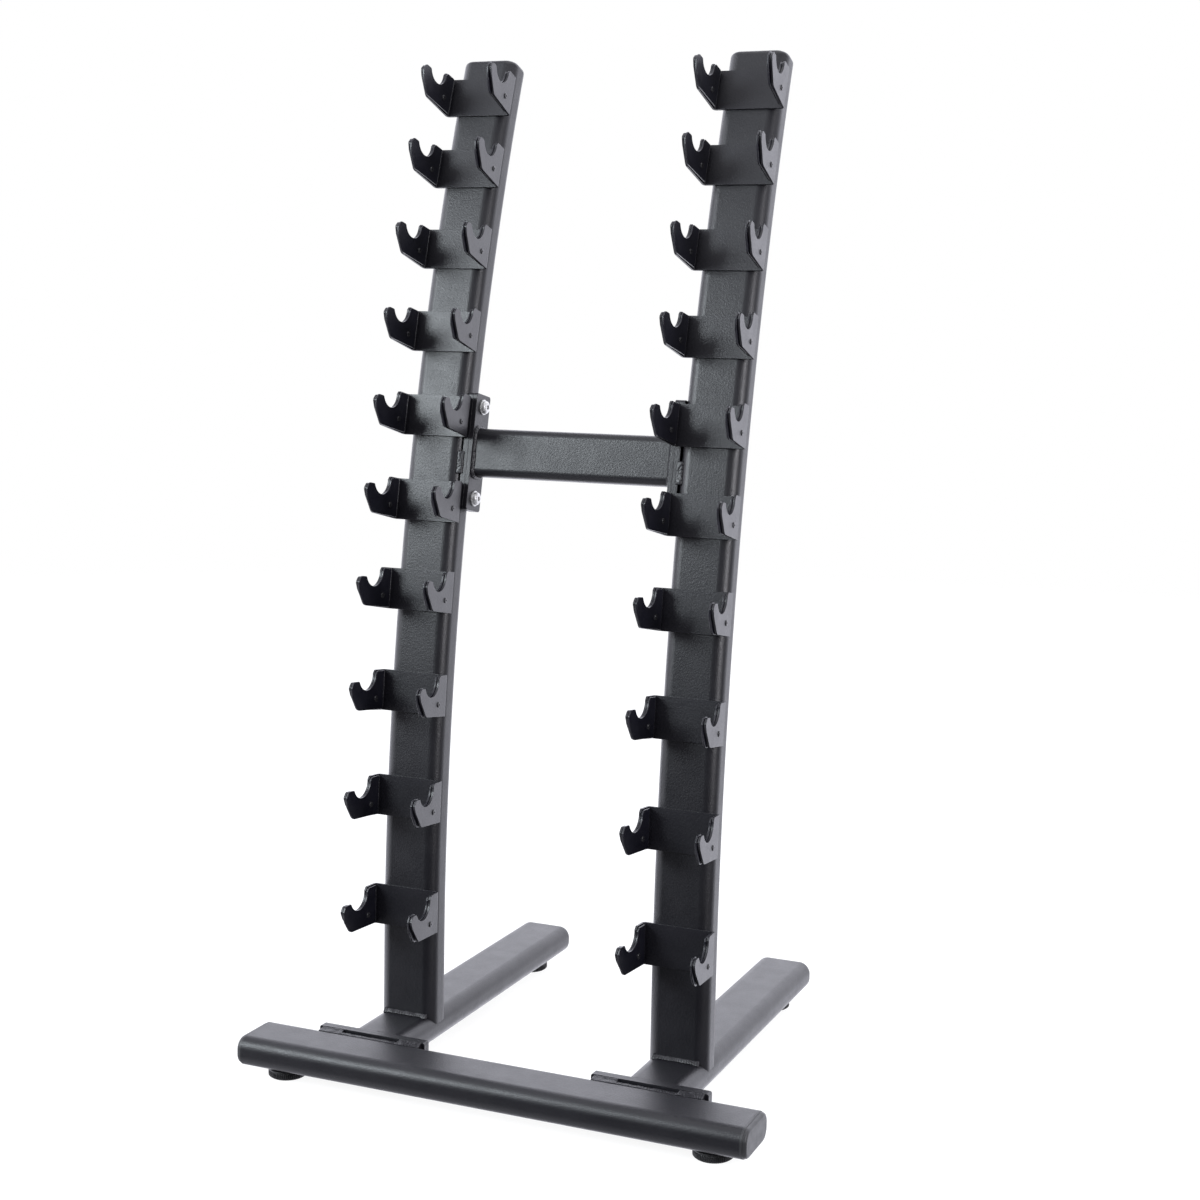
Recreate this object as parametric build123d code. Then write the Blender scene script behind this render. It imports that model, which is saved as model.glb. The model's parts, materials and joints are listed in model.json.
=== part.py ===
from build123d import *
import math
import os

# Vertical dumbbell rack: two curved uprights carry ten U-shaped saddles each and stand on two
# foot rails, which bolt to a front rail. All lengths are in millimetres. X runs to the right,
# Y to the back and Z up. The origin lies on the floor, in the middle of the footprint.

os.makedirs("parts", exist_ok=True)

# --- flat rounded tube of the uprights and rails
TUBE_WIDTH = 83
TUBE_DEPTH = 46
RAIL_HEIGHT = 40            # the rails are rolled from a slightly lower section
TUBE_CORNER = 17
TUBE_WALL = 3

# --- overall layout
UPRIGHT_SPACING = 400       # centre to centre
FOOTPRINT_DEPTH = 630
FRONT_RAIL_LENGTH = 700
RAIL_BOTTOM = 15            # ground clearance under the rails
RAIL_TOP = RAIL_BOTTOM + RAIL_HEIGHT
RAIL_AXIS = RAIL_BOTTOM + RAIL_HEIGHT / 2
FRONT_Y = -FOOTPRINT_DEPTH / 2
REAR_Y = FOOTPRINT_DEPTH / 2
UPRIGHT_SETBACK = 174       # front of the front rail to the front face of an upright
FACE_Y = FRONT_Y + UPRIGHT_SETBACK
SIDES = {"left": -1, "right": 1}

# --- upright: a straight stretch, then an arc that leans back
STRAIGHT_RUN = 83
BEND_RADIUS = 3665          # of the front face
TUBE_RUN = 1336             # length of the front face, from the top of the foot rail
CAP_THICKNESS = 7
SADDLE_DROP = 12            # how far the coped lower end reaches down over the foot rail

# --- end caps of the rails
CAP_LIP = 3
CAP_DOME = 5
FOOT_CAP = 12
PLUG_DEPTH = 18
PLUG_GAP = 0.2

# --- flange joints between the front rail and the foot rails
PLATE = 6
FLANGE_WIDTH = 160
FLANGE_TOP = RAIL_TOP + 2.5
FLANGE_BOLT_OFFSET = 60
JOINT_Y = FRONT_Y + TUBE_WIDTH
FOOT_RAIL_FRONT = JOINT_Y + 2 * PLATE

# --- M10 fasteners and threaded bushes
BOLT_RADIUS = 5
CLEARANCE_HOLE = 5.5
THREAD_RADIUS = 5.05
BUSH_RADIUS = 8
BUSH_LENGTH = 12
HEAD_RADIUS = 8.75
HEAD_HEIGHT = 5.5
WASHER_RADIUS = 10.5
WASHER = 2

# --- crossmember
CROSS_RUN = 781             # its centre, measured along the front face
CROSS_BACKSET = 25          # its centre, measured back from the front face
CROSS_HEIGHT = 66
CROSS_DEPTH = 30
CROSS_CORNER = 11
CROSS_PLATE_DEPTH = 40
CROSS_PLATE_HEIGHT = 160
CROSS_PLATE = 6
SIDE_PLATE = 8              # the plate welded to the upright is the thicker one
CROSS_BOLT_OFFSET = 63

# --- saddle brackets, folded from sheet
SHEET = 3
SADDLE_WIDTH = 100
SADDLE_TOP = 27.5           # above and below the middle of the bracket
SADDLE_BOTTOM = -28.5
ARM_REACH = 83.5
ARM_SPLAY = 3               # degrees that each arm leans outward
SHOULDER_REACH = 24
PRONG_TOP = 13
NOTCH_RADIUS = 21
NOTCH_OUT = 48              # notch centre, out from the front face
NOTCH_UP = 21               # notch centre, up from the middle of the bracket
RIVET_OUT = 26
RIVET_UP = -11
STEEL_TOE = (61, 3)         # lower front corner: out from the face, up from the bottom edge
STEEL_CHEEK = (79, -4)
LINER_TOE = (67.5, 1)       # the liner is fuller there and shows past the steel
LINER_CHEEK = (80.5, -8)
LINER = 3.4
FIRST_ROW = 152             # middle of the lowest bracket, along the front face
ROW_PITCHES = [152, 144, 139, 123, 117, 117, 117, 117, 106]

# --- levelling feet: a knurled disc on an M10 stud, turning on a glide pad
STUD_RADIUS = 5
FOOT_DISC_RADIUS = 26
FOOT_PAD_RADIUS = 24
PAD_HEIGHT = 1.2
DISC_TOP = 12.5
HUB_TOP = 13.5
HUB_RADIUS = 9
STUD_TOP = 46
BUSH_TOP = 33
FRONT_FOOT_X = 303
REAR_FOOT_Y = 255


def save(name, *solids):
    shape = solids[0] if len(solids) == 1 else Compound(list(solids))
    export_step(shape, f"parts/{name}.step")


def box_between(low, high):
    size = [b - a for a, b in zip(low, high)]
    middle = [(a + b) / 2 for a, b in zip(low, high)]
    return Pos(*middle) * Box(*size)


def cylinder_between(start, end, radius):
    direction = Vector(*end) - Vector(*start)
    return extrude(Plane(origin=start, z_dir=direction) * Circle(radius), amount=direction.length)


def tube(plane, width, depth, length, hollow=True, corner=TUBE_CORNER):
    outer = extrude(plane * RectangleRounded(width, depth, corner), amount=length)
    if not hollow:
        return outer
    bore = RectangleRounded(width - 2 * TUBE_WALL, depth - 2 * TUBE_WALL, corner - TUBE_WALL)
    return outer - extrude(plane * bore, amount=length)


def corner_at(sketch, point):
    return sketch.vertices().sort_by_distance(Vector(*point))[0]


def polygon_with_fillets(points, radii):
    face = make_face(Polyline(*points, close=True))
    for point, radius in radii.items():
        face = fillet(corner_at(face, point), radius)
    return face


# --- the curved line of the uprights

def lean_at(run):
    return max(run - STRAIGHT_RUN, 0) / BEND_RADIUS


def face_plane(x, run):
    """Frame on an upright's front face: x right, y up along the tube, z out to the front."""
    lean = lean_at(run)
    y = FACE_Y + BEND_RADIUS * (1 - math.cos(lean))
    z = RAIL_TOP + min(run, STRAIGHT_RUN) + BEND_RADIUS * math.sin(lean)
    return Plane(origin=(x, y, z), x_dir=(1, 0, 0), z_dir=(0, -math.cos(lean), math.sin(lean)))


def upright_column(x, width, depth, corner):
    centre_y = FACE_Y + TUBE_DEPTH / 2
    section = RectangleRounded(width, depth, corner)
    base = RAIL_TOP - SADDLE_DROP
    bend_start = RAIL_TOP + STRAIGHT_RUN
    straight = extrude(Pos(x, centre_y, base) * section, amount=bend_start - base)
    bend_axis = Axis((0, FACE_Y + BEND_RADIUS, bend_start), (-1, 0, 0))
    bend = revolve(Pos(x, centre_y, bend_start) * section, axis=bend_axis,
                   revolution_arc=math.degrees(lean_at(TUBE_RUN)))
    return straight + bend


def upright_outer(x):
    return upright_column(x, TUBE_WIDTH, TUBE_DEPTH, TUBE_CORNER)


def upright_bore(x):
    return upright_column(x, TUBE_WIDTH - 2 * TUBE_WALL, TUBE_DEPTH - 2 * TUBE_WALL,
                          TUBE_CORNER - TUBE_WALL)


# --- rails

def front_rail(hollow=True):
    start = (-FRONT_RAIL_LENGTH / 2, FRONT_Y + TUBE_WIDTH / 2, RAIL_AXIS)
    plane = Plane(origin=start, x_dir=(0, 1, 0), z_dir=(1, 0, 0))
    return tube(plane, TUBE_WIDTH, RAIL_HEIGHT, FRONT_RAIL_LENGTH, hollow)


def foot_rail(x, hollow=True):
    plane = Plane(origin=(x, FOOT_RAIL_FRONT, RAIL_AXIS), x_dir=(-1, 0, 0), z_dir=(0, 1, 0))
    return tube(plane, TUBE_WIDTH, RAIL_HEIGHT, REAR_Y - FOOT_CAP - FOOT_RAIL_FRONT, hollow)


def levelling_positions():
    front_y = FRONT_Y + TUBE_WIDTH / 2
    return {
        "front_left": (-FRONT_FOOT_X, front_y),
        "front_right": (FRONT_FOOT_X, front_y),
        "rear_left": (-UPRIGHT_SPACING / 2, REAR_FOOT_Y),
        "rear_right": (UPRIGHT_SPACING / 2, REAR_FOOT_Y),
    }


def levelling_holes():
    return [cylinder_between((x, y, RAIL_BOTTOM - 1), (x, y, RAIL_BOTTOM + TUBE_WALL + 1), BUSH_RADIUS)
            for x, y in levelling_positions().values()]


def rail_end_cap(side):
    """Moulded plug: a lip the size of the tube, a domed face and a hollow plug inside the tube."""
    end = Plane(origin=(side * FRONT_RAIL_LENGTH / 2, FRONT_Y + TUBE_WIDTH / 2, RAIL_AXIS),
                x_dir=(0, 1, 0), z_dir=(side, 0, 0))
    outward = Axis(end.origin, end.z_dir)
    lip = extrude(end * RectangleRounded(TUBE_WIDTH, RAIL_HEIGHT, TUBE_CORNER), amount=CAP_LIP)
    lip = fillet(lip.faces().sort_by(outward)[-1].edges(), 1.2)
    dome_outline = RectangleRounded(TUBE_WIDTH - 2.4, RAIL_HEIGHT - 2.4, TUBE_CORNER - 1.2)
    dome = extrude(end.offset(CAP_LIP) * dome_outline, amount=CAP_DOME)
    dome = fillet(dome.faces().sort_by(outward)[-1].edges(), CAP_DOME - 0.8)
    inset = 2 * (TUBE_WALL + PLUG_GAP)
    corner = TUBE_CORNER - TUBE_WALL - PLUG_GAP
    plug = RectangleRounded(TUBE_WIDTH - inset, RAIL_HEIGHT - inset, corner)
    hollow = RectangleRounded(TUBE_WIDTH - inset - 5, RAIL_HEIGHT - inset - 5, corner - 2.5)
    sleeve = extrude(end * (plug - hollow), amount=-PLUG_DEPTH)
    return lip + dome + sleeve


def foot_rail_cap(x):
    """Steel closure welded into the rear end of a foot rail and ground flush."""
    end = Plane(origin=(x, REAR_Y - FOOT_CAP, RAIL_AXIS), x_dir=(-1, 0, 0), z_dir=(0, 1, 0))
    cap = extrude(end * RectangleRounded(TUBE_WIDTH, RAIL_HEIGHT, TUBE_CORNER), amount=FOOT_CAP)
    return fillet(cap.faces().sort_by(Axis.Y)[-1].edges(), 8)


def upright_top_cap(x):
    plane = face_plane(x, TUBE_RUN)
    seat = Plane(origin=plane.from_local_coords((0, 0, -TUBE_DEPTH / 2)), x_dir=(1, 0, 0),
                 z_dir=plane.y_dir)
    cap = extrude(seat * RectangleRounded(TUBE_WIDTH, TUBE_DEPTH, TUBE_CORNER), amount=CAP_THICKNESS)
    return fillet(cap.faces().sort_by(Axis(seat.origin, seat.z_dir))[-1].edges(), CAP_THICKNESS - 1.5)


# --- flange joints

def flange_plate(x, y, hole_radius):
    plate = box_between((x - FLANGE_WIDTH / 2, y, RAIL_BOTTOM), (x + FLANGE_WIDTH / 2, y + PLATE, FLANGE_TOP))
    plate = fillet(plate.edges().filter_by(Axis.Y), 3)
    for bolt_x, z in flange_bolt_positions(x):
        plate -= cylinder_between((bolt_x, y - 1, z), (bolt_x, y + PLATE + 1, z), hole_radius)
    return plate


def flange_bolt_positions(x):
    return [(x - FLANGE_BOLT_OFFSET, RAIL_AXIS), (x + FLANGE_BOLT_OFFSET, RAIL_AXIS)]


def threaded_bush(mouth, direction, length=BUSH_LENGTH):
    end = tuple(a + length * b for a, b in zip(mouth, direction))
    return cylinder_between(mouth, end, BUSH_RADIUS) - cylinder_between(mouth, end, THREAD_RADIUS)


def bush_hole(mouth, direction):
    start = tuple(a - b for a, b in zip(mouth, direction))
    end = tuple(a + (TUBE_WALL + 1) * b for a, b in zip(mouth, direction))
    return cylinder_between(start, end, BUSH_RADIUS)


def button_head_bolt(seat, direction, shank):
    """Button-head bolt with a hexagon socket. direction points out of the head."""
    head_plane = Plane(origin=seat, z_dir=direction)
    head = extrude(head_plane * Circle(HEAD_RADIUS), amount=HEAD_HEIGHT)
    top_edge = head.edges().sort_by(Axis(seat, direction))[-1]
    head = fillet(top_edge, HEAD_HEIGHT - 1.8)
    socket = extrude(head_plane.offset(HEAD_HEIGHT - 3) * RegularPolygon(3.46, 6), amount=4)
    return head - socket + extrude(head_plane * Circle(BOLT_RADIUS), amount=-shank)


def washer(seat, direction):
    ring = Circle(WASHER_RADIUS) - Circle(CLEARANCE_HOLE)
    return extrude(Plane(origin=seat, z_dir=direction) * ring, amount=WASHER)


# --- crossmember, in the frame of the uprights at its height

CROSS_FACE = face_plane(0, CROSS_RUN)
CROSS_FRAME = Plane(origin=CROSS_FACE.from_local_coords((0, 0, -CROSS_BACKSET)), x_dir=(1, 0, 0),
                    z_dir=CROSS_FACE.z_dir)
INNER_SIDE = UPRIGHT_SPACING / 2 - TUBE_WIDTH / 2
CROSS_SEAM = INNER_SIDE - SIDE_PLATE
CROSS_END = CROSS_SEAM - CROSS_PLATE


def cross_section_plane(x, facing):
    origin = CROSS_FRAME.from_local_coords((x, 0, 0))
    return Plane(origin=origin, x_dir=CROSS_FRAME.y_dir, z_dir=(facing, 0, 0))


def cross_bolt_point(x, end):
    return tuple(CROSS_FRAME.from_local_coords((x, end * CROSS_BOLT_OFFSET, 0)))


def cross_plate(x, facing, thickness):
    """Plate of the crossmember joint; x is its outer face and facing the way it thickens."""
    outline = RectangleRounded(CROSS_PLATE_HEIGHT, CROSS_PLATE_DEPTH, 4)
    plate = extrude(cross_section_plane(x, facing) * outline, amount=thickness)
    for end in (-1, 1):
        point = cross_bolt_point(x - facing, end)
        far = cross_bolt_point(x + facing * (thickness + 1), end)
        plate -= cylinder_between(point, far, CLEARANCE_HOLE)
    return plate


# --- saddle bracket and its liners, in the frame of face_plane

def arm_outline(back, bottom, top, notch_radius, grow, low_front=(STEEL_TOE, STEEL_CHEEK), bend=9):
    """Side view of an arm, as (out from the face, up). The notch is a circle open at the top."""
    prong_top = PRONG_TOP + grow
    shoulder = (SHOULDER_REACH + grow, top)
    tip_back = (NOTCH_OUT + math.sqrt(notch_radius ** 2 - (NOTCH_UP - prong_top) ** 2), prong_top)
    toe = (low_front[0][0] + grow, bottom + low_front[0][1])
    cheek = (low_front[1][0] + grow, low_front[1][1])
    nose = (ARM_REACH + grow, 5.5)
    crown = (78.5 + grow, prong_top)
    edge = [(back, bottom), toe, cheek, nose, crown, tip_back, (NOTCH_OUT - 19, 20), shoulder, (back, top)]
    outline = make_face(Polyline(*edge, close=True))
    outline -= Pos(NOTCH_OUT, NOTCH_UP) * Circle(notch_radius)
    for corner, radius in ((toe, bend), (nose, 4), (crown, 5), (tip_back, 3), (shoulder, 3)):
        outline = fillet(corner_at(outline, corner), radius)
    return outline


def arm_slab(outline, start, end):
    """Outline stood up in the arm's plane and thickened from x = start to x = end."""
    plane = Plane(origin=(end, 0, 0), x_dir=(0, 0, 1), z_dir=(-1, 0, 0))
    return extrude(plane * outline, amount=end - start)


def on_arm(shape, side):
    """Lean a piece made for an upright right-hand arm with the splay, and mirror it for the left."""
    fold = Axis((SADDLE_WIDTH / 2 - SHEET, 0, SHEET), (0, 1, 0))
    leaning = shape.rotate(fold, ARM_SPLAY)
    return leaning if side > 0 else mirror(leaning, Plane.YZ)


def saddle_bracket():
    half = SADDLE_WIDTH / 2
    inner = half - SHEET
    slope = math.tan(math.radians(ARM_SPLAY))
    spread = 100 * slope
    foot = inner - SHEET * slope        # where the inner face of a leaning arm would meet out = 0
    outer_foot = foot + SHEET * math.sqrt(1 + slope ** 2)
    corners = [(outer_foot, 0), (outer_foot + spread, 100), (foot + spread, 100), (inner, SHEET)]
    mirrored = [(-x, out) for x, out in reversed(corners)]
    channel = polygon_with_fillets(corners + mirrored, {corners[0]: 5, mirrored[-1]: 5,
                                                        corners[-1]: 2, mirrored[0]: 2})
    top_view = Plane(origin=(0, SADDLE_TOP, 0), x_dir=(1, 0, 0), z_dir=(0, -1, 0))
    sheet = extrude(top_view * channel, amount=SADDLE_TOP - SADDLE_BOTTOM)
    outline = arm_outline(0, SADDLE_BOTTOM, SADDLE_TOP, NOTCH_RADIUS, 0)
    bracket = sheet & arm_slab(outline, -half - spread, half + spread)
    for side in (-1, 1):
        bracket -= on_arm(rivet_shank(inner - 2, half + 4, 2), side)
    return bracket


def rivet_shank(start, end, radius):
    return cylinder_between((start, RIVET_UP, RIVET_OUT), (end, RIVET_UP, RIVET_OUT), radius)


def saddle_liner(side):
    """Plastic liner on the inner face of an arm; a step leaves a groove along the steel."""
    inner = SADDLE_WIDTH / 2 - SHEET
    step = inner - 0.9
    face = inner - LINER
    bottom = SADDLE_BOTTOM + 2
    top = SADDLE_TOP - 1.5
    seat = arm_slab(arm_outline(9, bottom + 1.5, top - 1.5, NOTCH_RADIUS + 0.6, -1.4), step, inner)
    full = arm_outline(8, bottom, top, NOTCH_RADIUS - 1, 0.8, (LINER_TOE, LINER_CHEEK), 12)
    body = arm_slab(full, face, step)
    return on_arm(seat + body - rivet_shank(face - 1, inner + 1, 2), side)


def saddle_rivet(side):
    outer = SADDLE_WIDTH / 2
    face = outer - SHEET - LINER
    rivet = rivet_shank(face, outer, 1.9)
    for start, way in ((outer, 1), (face, -1)):
        seat = (start, RIVET_UP, RIVET_OUT)
        plane = Plane(origin=seat, z_dir=(way, 0, 0))
        head = extrude(plane * Circle(3.8), amount=1.4)
        head = fillet(head.edges().sort_by(Axis(seat, (way, 0, 0)))[-1], 0.9)
        rivet += head - extrude(plane.offset(0.7) * Circle(1.3), amount=1)
    return on_arm(rivet, side)


def saddle_bead(side):
    """Raw bead between the back of a bracket and the rounded corner of the upright."""
    section = Polyline((28, 0), (42, 0), (40.4, -6), (38, -9.5), (28, -9.5), close=True)
    plane = Plane(origin=(0, SADDLE_TOP - 5, 0), x_dir=(1, 0, 0), z_dir=(0, -1, 0))
    bead = extrude(plane * make_face(section), amount=SADDLE_TOP - SADDLE_BOTTOM - 10)
    return bead if side > 0 else mirror(bead, Plane.YZ)


def row_runs():
    runs = [FIRST_ROW]
    for pitch in ROW_PITCHES:
        runs.append(runs[-1] + pitch)
    return runs


# --- weld beads of the frame

def bead_along_x(section, x_low, x_high):
    """Bead with the given section of (y, z) corners, running along X."""
    plane = Plane(origin=(x_low, 0, 0), x_dir=(0, 1, 0), z_dir=(1, 0, 0))
    return extrude(plane * make_face(Polyline(*section, close=True)), amount=x_high - x_low)


def upright_base_beads(x):
    """Front and rear welds at the foot of an upright, down into the rounding of both tubes."""
    reach = TUBE_WIDTH / 2 - 9
    beads = []
    for wall, way in ((FACE_Y, -1), (FACE_Y + TUBE_DEPTH, 1)):
        section = [(wall - way * 6, RAIL_TOP - 4), (wall + way * 4, RAIL_TOP - 4),
                   (wall + way * 5, RAIL_TOP), (wall, RAIL_TOP + 5), (wall - way * 6, RAIL_TOP + 5)]
        bead = bead_along_x(section, x - reach, x + reach)
        beads += (bead - upright_outer(x) - foot_rail(x, hollow=False)).solids()
    return beads


def flange_beads(x):
    """Welds of both flanges. Those of the front rail are thick at the ends and thin between them."""
    rail = front_rail(hollow=False)
    half = FLANGE_WIDTH / 2
    low = RAIL_TOP - 11.5
    thick = [(JOINT_Y - 12, low), (JOINT_Y - 12, RAIL_TOP), (JOINT_Y - 5, RAIL_TOP + 0.8),
             (JOINT_Y, RAIL_TOP + 2.4), (JOINT_Y, low)]
    thin = [(JOINT_Y - 13, low), (JOINT_Y - 13, RAIL_TOP - 0.2), (JOINT_Y - 3, RAIL_TOP - 0.6),
            (JOINT_Y - 3, low)]
    beads = [bead_along_x(thin, x - half + 38, x + half - 38) - rail]
    for start in (x - half + 5, x + half - 38):
        beads.append(bead_along_x(thick, start, start + 33) - rail)
    collar = Plane(origin=(x, FOOT_RAIL_FRONT, RAIL_AXIS), x_dir=(-1, 0, 0), z_dir=(0, 1, 0))
    ring = extrude(collar * RectangleRounded(TUBE_WIDTH + 8, RAIL_HEIGHT + 6, 20), amount=4, taper=35)
    keep = box_between((x - 60, FOOT_RAIL_FRONT, RAIL_BOTTOM), (x + 60, FOOT_RAIL_FRONT + 5, FLANGE_TOP))
    return beads + (ring & keep - foot_rail(x, hollow=False)).solids()


def stitch(side, corners, low, high):
    """Bead along an upright, low to high from the crossmember's centre; corners are (x, back)."""
    points = [(side * (INNER_SIDE + x), -back) for x, back in corners]
    origin = CROSS_FRAME.from_local_coords((0, high, CROSS_BACKSET))
    plane = Plane(origin=origin, x_dir=(1, 0, 0), z_dir=CROSS_FRAME.y_dir * -1)
    return extrude(plane * make_face(Polyline(*points, close=True)), amount=high - low)


def cross_beads(side):
    """Stitch welds of the side plate, front and back, and the ring round the crossmember's end."""
    depth = TUBE_DEPTH
    front = stitch(side, ((0, 14), (0, 5), (-3.5, 5), (-2, 2.8), (6, 2.5), (9, 14)), -32, -1)
    behind = ((0, depth - 15), (0, depth - 1.5), (4.5, depth - 0.5), (11, depth - 3))
    back = stitch(side, behind, -50, 50)
    outer = upright_outer(side * UPRIGHT_SPACING / 2)
    beads = (front - outer).solids() + (back - outer).solids()
    plane = cross_section_plane(side * CROSS_END, -side)
    ring = extrude(plane * RectangleRounded(CROSS_HEIGHT + 8, CROSS_DEPTH + 8, 13), amount=4, taper=40)
    return beads + (ring - cross_tube(plane, 10, hollow=False)).solids()


def cross_tube(plane, length, hollow=True):
    return tube(plane, CROSS_HEIGHT, CROSS_DEPTH, length, hollow, CROSS_CORNER)


# --- front rail and foot rails
front = front_rail()
for hole in levelling_holes():
    front -= hole
flange_bushes = []
flange_bolts = []
for side in SIDES.values():
    for bolt_x, bolt_z in flange_bolt_positions(side * UPRIGHT_SPACING / 2):
        mouth = (bolt_x, JOINT_Y, bolt_z)
        front -= bush_hole(mouth, (0, -1, 0))
        flange_bushes.append(threaded_bush(mouth, (0, -1, 0)))
        flange_bolts.append(button_head_bolt((bolt_x, FOOT_RAIL_FRONT, bolt_z), (0, 1, 0), 22))
save("front_rail", front)
save("flange_bushes", *flange_bushes)
save("flange_bolts", *flange_bolts)

frame_welds = []
cross_bushes = []
cross_bolts = []
cross_washers = []
bracket_welds = []
bracket = saddle_bracket()

for name, side in SIDES.items():
    x = side * UPRIGHT_SPACING / 2
    save(f"front_rail_cap_{name}", rail_end_cap(side))
    save(f"front_flange_{name}", flange_plate(x, JOINT_Y, CLEARANCE_HOLE))
    save(f"foot_flange_{name}", flange_plate(x, JOINT_Y + PLATE, CLEARANCE_HOLE))
    foot = foot_rail(x)
    for hole in levelling_holes():
        foot -= hole
    save(f"foot_rail_{name}", foot)
    save(f"foot_rail_cap_{name}", foot_rail_cap(x))

    # upright with its cap and the holes for the crossmember's bushes
    outer = upright_outer(x)
    upright = outer - upright_bore(x) - foot_rail(x, hollow=False)
    for end in (-1, 1):
        mouth = cross_bolt_point(side * INNER_SIDE, end)
        seat = cross_bolt_point(side * CROSS_END, end)
        upright -= bush_hole(mouth, (side, 0, 0))
        cross_bushes.append(threaded_bush(mouth, (side, 0, 0)))
        cross_washers.append(washer(seat, (-side, 0, 0)))
        bolt_seat = cross_bolt_point(side * (CROSS_END - WASHER), end)
        cross_bolts.append(button_head_bolt(bolt_seat, (-side, 0, 0), 24))
    save(f"upright_{name}", upright)
    save(f"upright_cap_{name}", upright_top_cap(x))
    save(f"upright_side_plate_{name}", cross_plate(side * INNER_SIDE, -side, SIDE_PLATE))
    save(f"crossmember_plate_{name}", cross_plate(side * CROSS_SEAM, -side, CROSS_PLATE))
    frame_welds += upright_base_beads(x) + flange_beads(x) + cross_beads(side)

    # ten saddles with their liners, rivets and welds
    liners = []
    rivets = []
    for number, run in enumerate(row_runs(), start=1):
        place = face_plane(x, run).location
        save(f"saddle_{name}_{number:02d}", place * bracket)
        for arm in (-1, 1):
            liners.append(place * saddle_liner(arm))
            rivets.append(place * saddle_rivet(arm))
            bracket_welds += (place * saddle_bead(arm) - outer).solids()
    save(f"saddle_liners_{name}", *liners)
    save(f"saddle_rivets_{name}", *rivets)

save("crossmember", cross_tube(cross_section_plane(-CROSS_END, 1), 2 * CROSS_END))
save("crossmember_bushes", *cross_bushes)
save("crossmember_bolts", *cross_bolts)
save("crossmember_washers", *cross_washers)
save("frame_welds", *frame_welds)
save("saddle_welds", *bracket_welds)

# --- levelling feet
levelling_bushes = []
for name, (x, y) in levelling_positions().items():
    bush = cylinder_between((x, y, HUB_TOP), (x, y, RAIL_BOTTOM), 11)
    bush += cylinder_between((x, y, RAIL_BOTTOM), (x, y, BUSH_TOP), BUSH_RADIUS)
    levelling_bushes.append(bush - cylinder_between((x, y, HUB_TOP), (x, y, BUSH_TOP), THREAD_RADIUS))
    disc = cylinder_between((x, y, PAD_HEIGHT), (x, y, DISC_TOP), FOOT_DISC_RADIUS)
    disc = chamfer(disc.edges(), 0.8)
    foot = disc + cylinder_between((x, y, DISC_TOP), (x, y, HUB_TOP), HUB_RADIUS)
    foot += chamfer(cylinder_between((x, y, HUB_TOP), (x, y, STUD_TOP), STUD_RADIUS).edges()
                    .sort_by(Axis.Z)[-1], 1)
    foot += cylinder_between((x, y, 0.4), (x, y, PAD_HEIGHT), 4)
    save(f"levelling_foot_{name}", foot)
    pad = cylinder_between((x, y, 0), (x, y, PAD_HEIGHT), FOOT_PAD_RADIUS)
    pad = chamfer(pad.edges().sort_by(Axis.Z)[0], 0.5)
    save(f"levelling_pad_{name}", pad - cylinder_between((x, y, 0.4), (x, y, PAD_HEIGHT), 4.05))
save("levelling_bushes", *levelling_bushes)
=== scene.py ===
import json
import math

import bmesh
import bpy
import numpy as np
from mathutils import Matrix, Vector, noise


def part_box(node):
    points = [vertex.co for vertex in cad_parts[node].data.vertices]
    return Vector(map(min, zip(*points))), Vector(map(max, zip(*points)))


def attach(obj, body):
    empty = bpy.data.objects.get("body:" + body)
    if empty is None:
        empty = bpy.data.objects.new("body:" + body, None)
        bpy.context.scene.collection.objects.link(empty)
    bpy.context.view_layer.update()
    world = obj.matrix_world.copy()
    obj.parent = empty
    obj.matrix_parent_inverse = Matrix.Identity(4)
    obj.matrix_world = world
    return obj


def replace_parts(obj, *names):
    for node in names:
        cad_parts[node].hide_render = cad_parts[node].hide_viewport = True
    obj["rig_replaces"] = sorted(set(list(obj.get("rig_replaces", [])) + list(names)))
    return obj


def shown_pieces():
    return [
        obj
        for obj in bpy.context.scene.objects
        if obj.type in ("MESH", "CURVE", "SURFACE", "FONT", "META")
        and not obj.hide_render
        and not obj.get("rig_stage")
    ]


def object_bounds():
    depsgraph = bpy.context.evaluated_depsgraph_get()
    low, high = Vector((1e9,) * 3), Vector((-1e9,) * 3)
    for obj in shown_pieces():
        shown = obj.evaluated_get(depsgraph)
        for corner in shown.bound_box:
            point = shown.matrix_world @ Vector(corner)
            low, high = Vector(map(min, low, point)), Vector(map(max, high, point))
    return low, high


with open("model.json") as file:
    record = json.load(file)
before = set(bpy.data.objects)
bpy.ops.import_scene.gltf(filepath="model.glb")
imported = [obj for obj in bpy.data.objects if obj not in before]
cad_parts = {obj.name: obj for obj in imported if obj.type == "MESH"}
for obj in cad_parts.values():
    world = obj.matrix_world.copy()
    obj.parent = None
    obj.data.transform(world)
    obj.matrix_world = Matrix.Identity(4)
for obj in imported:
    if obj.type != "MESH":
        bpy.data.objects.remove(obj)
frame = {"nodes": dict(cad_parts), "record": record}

# Vertical dumbbell rack in metres: X runs to the right, Y to the back and Z up.
CAD_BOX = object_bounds()
NODES = frame["nodes"]
RECORD = frame["record"]
SLOT_OF = {part["node"]: part["material_slot"] for part in RECORD["subparts"]}
BODY_OF = {node: body for body, nodes in RECORD["behaviour"]["bodies"].items() for node in nodes}
SIDES = {"left": -1, "right": 1}
CORNERS = ("front_left", "front_right", "rear_left", "rear_right")

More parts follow.
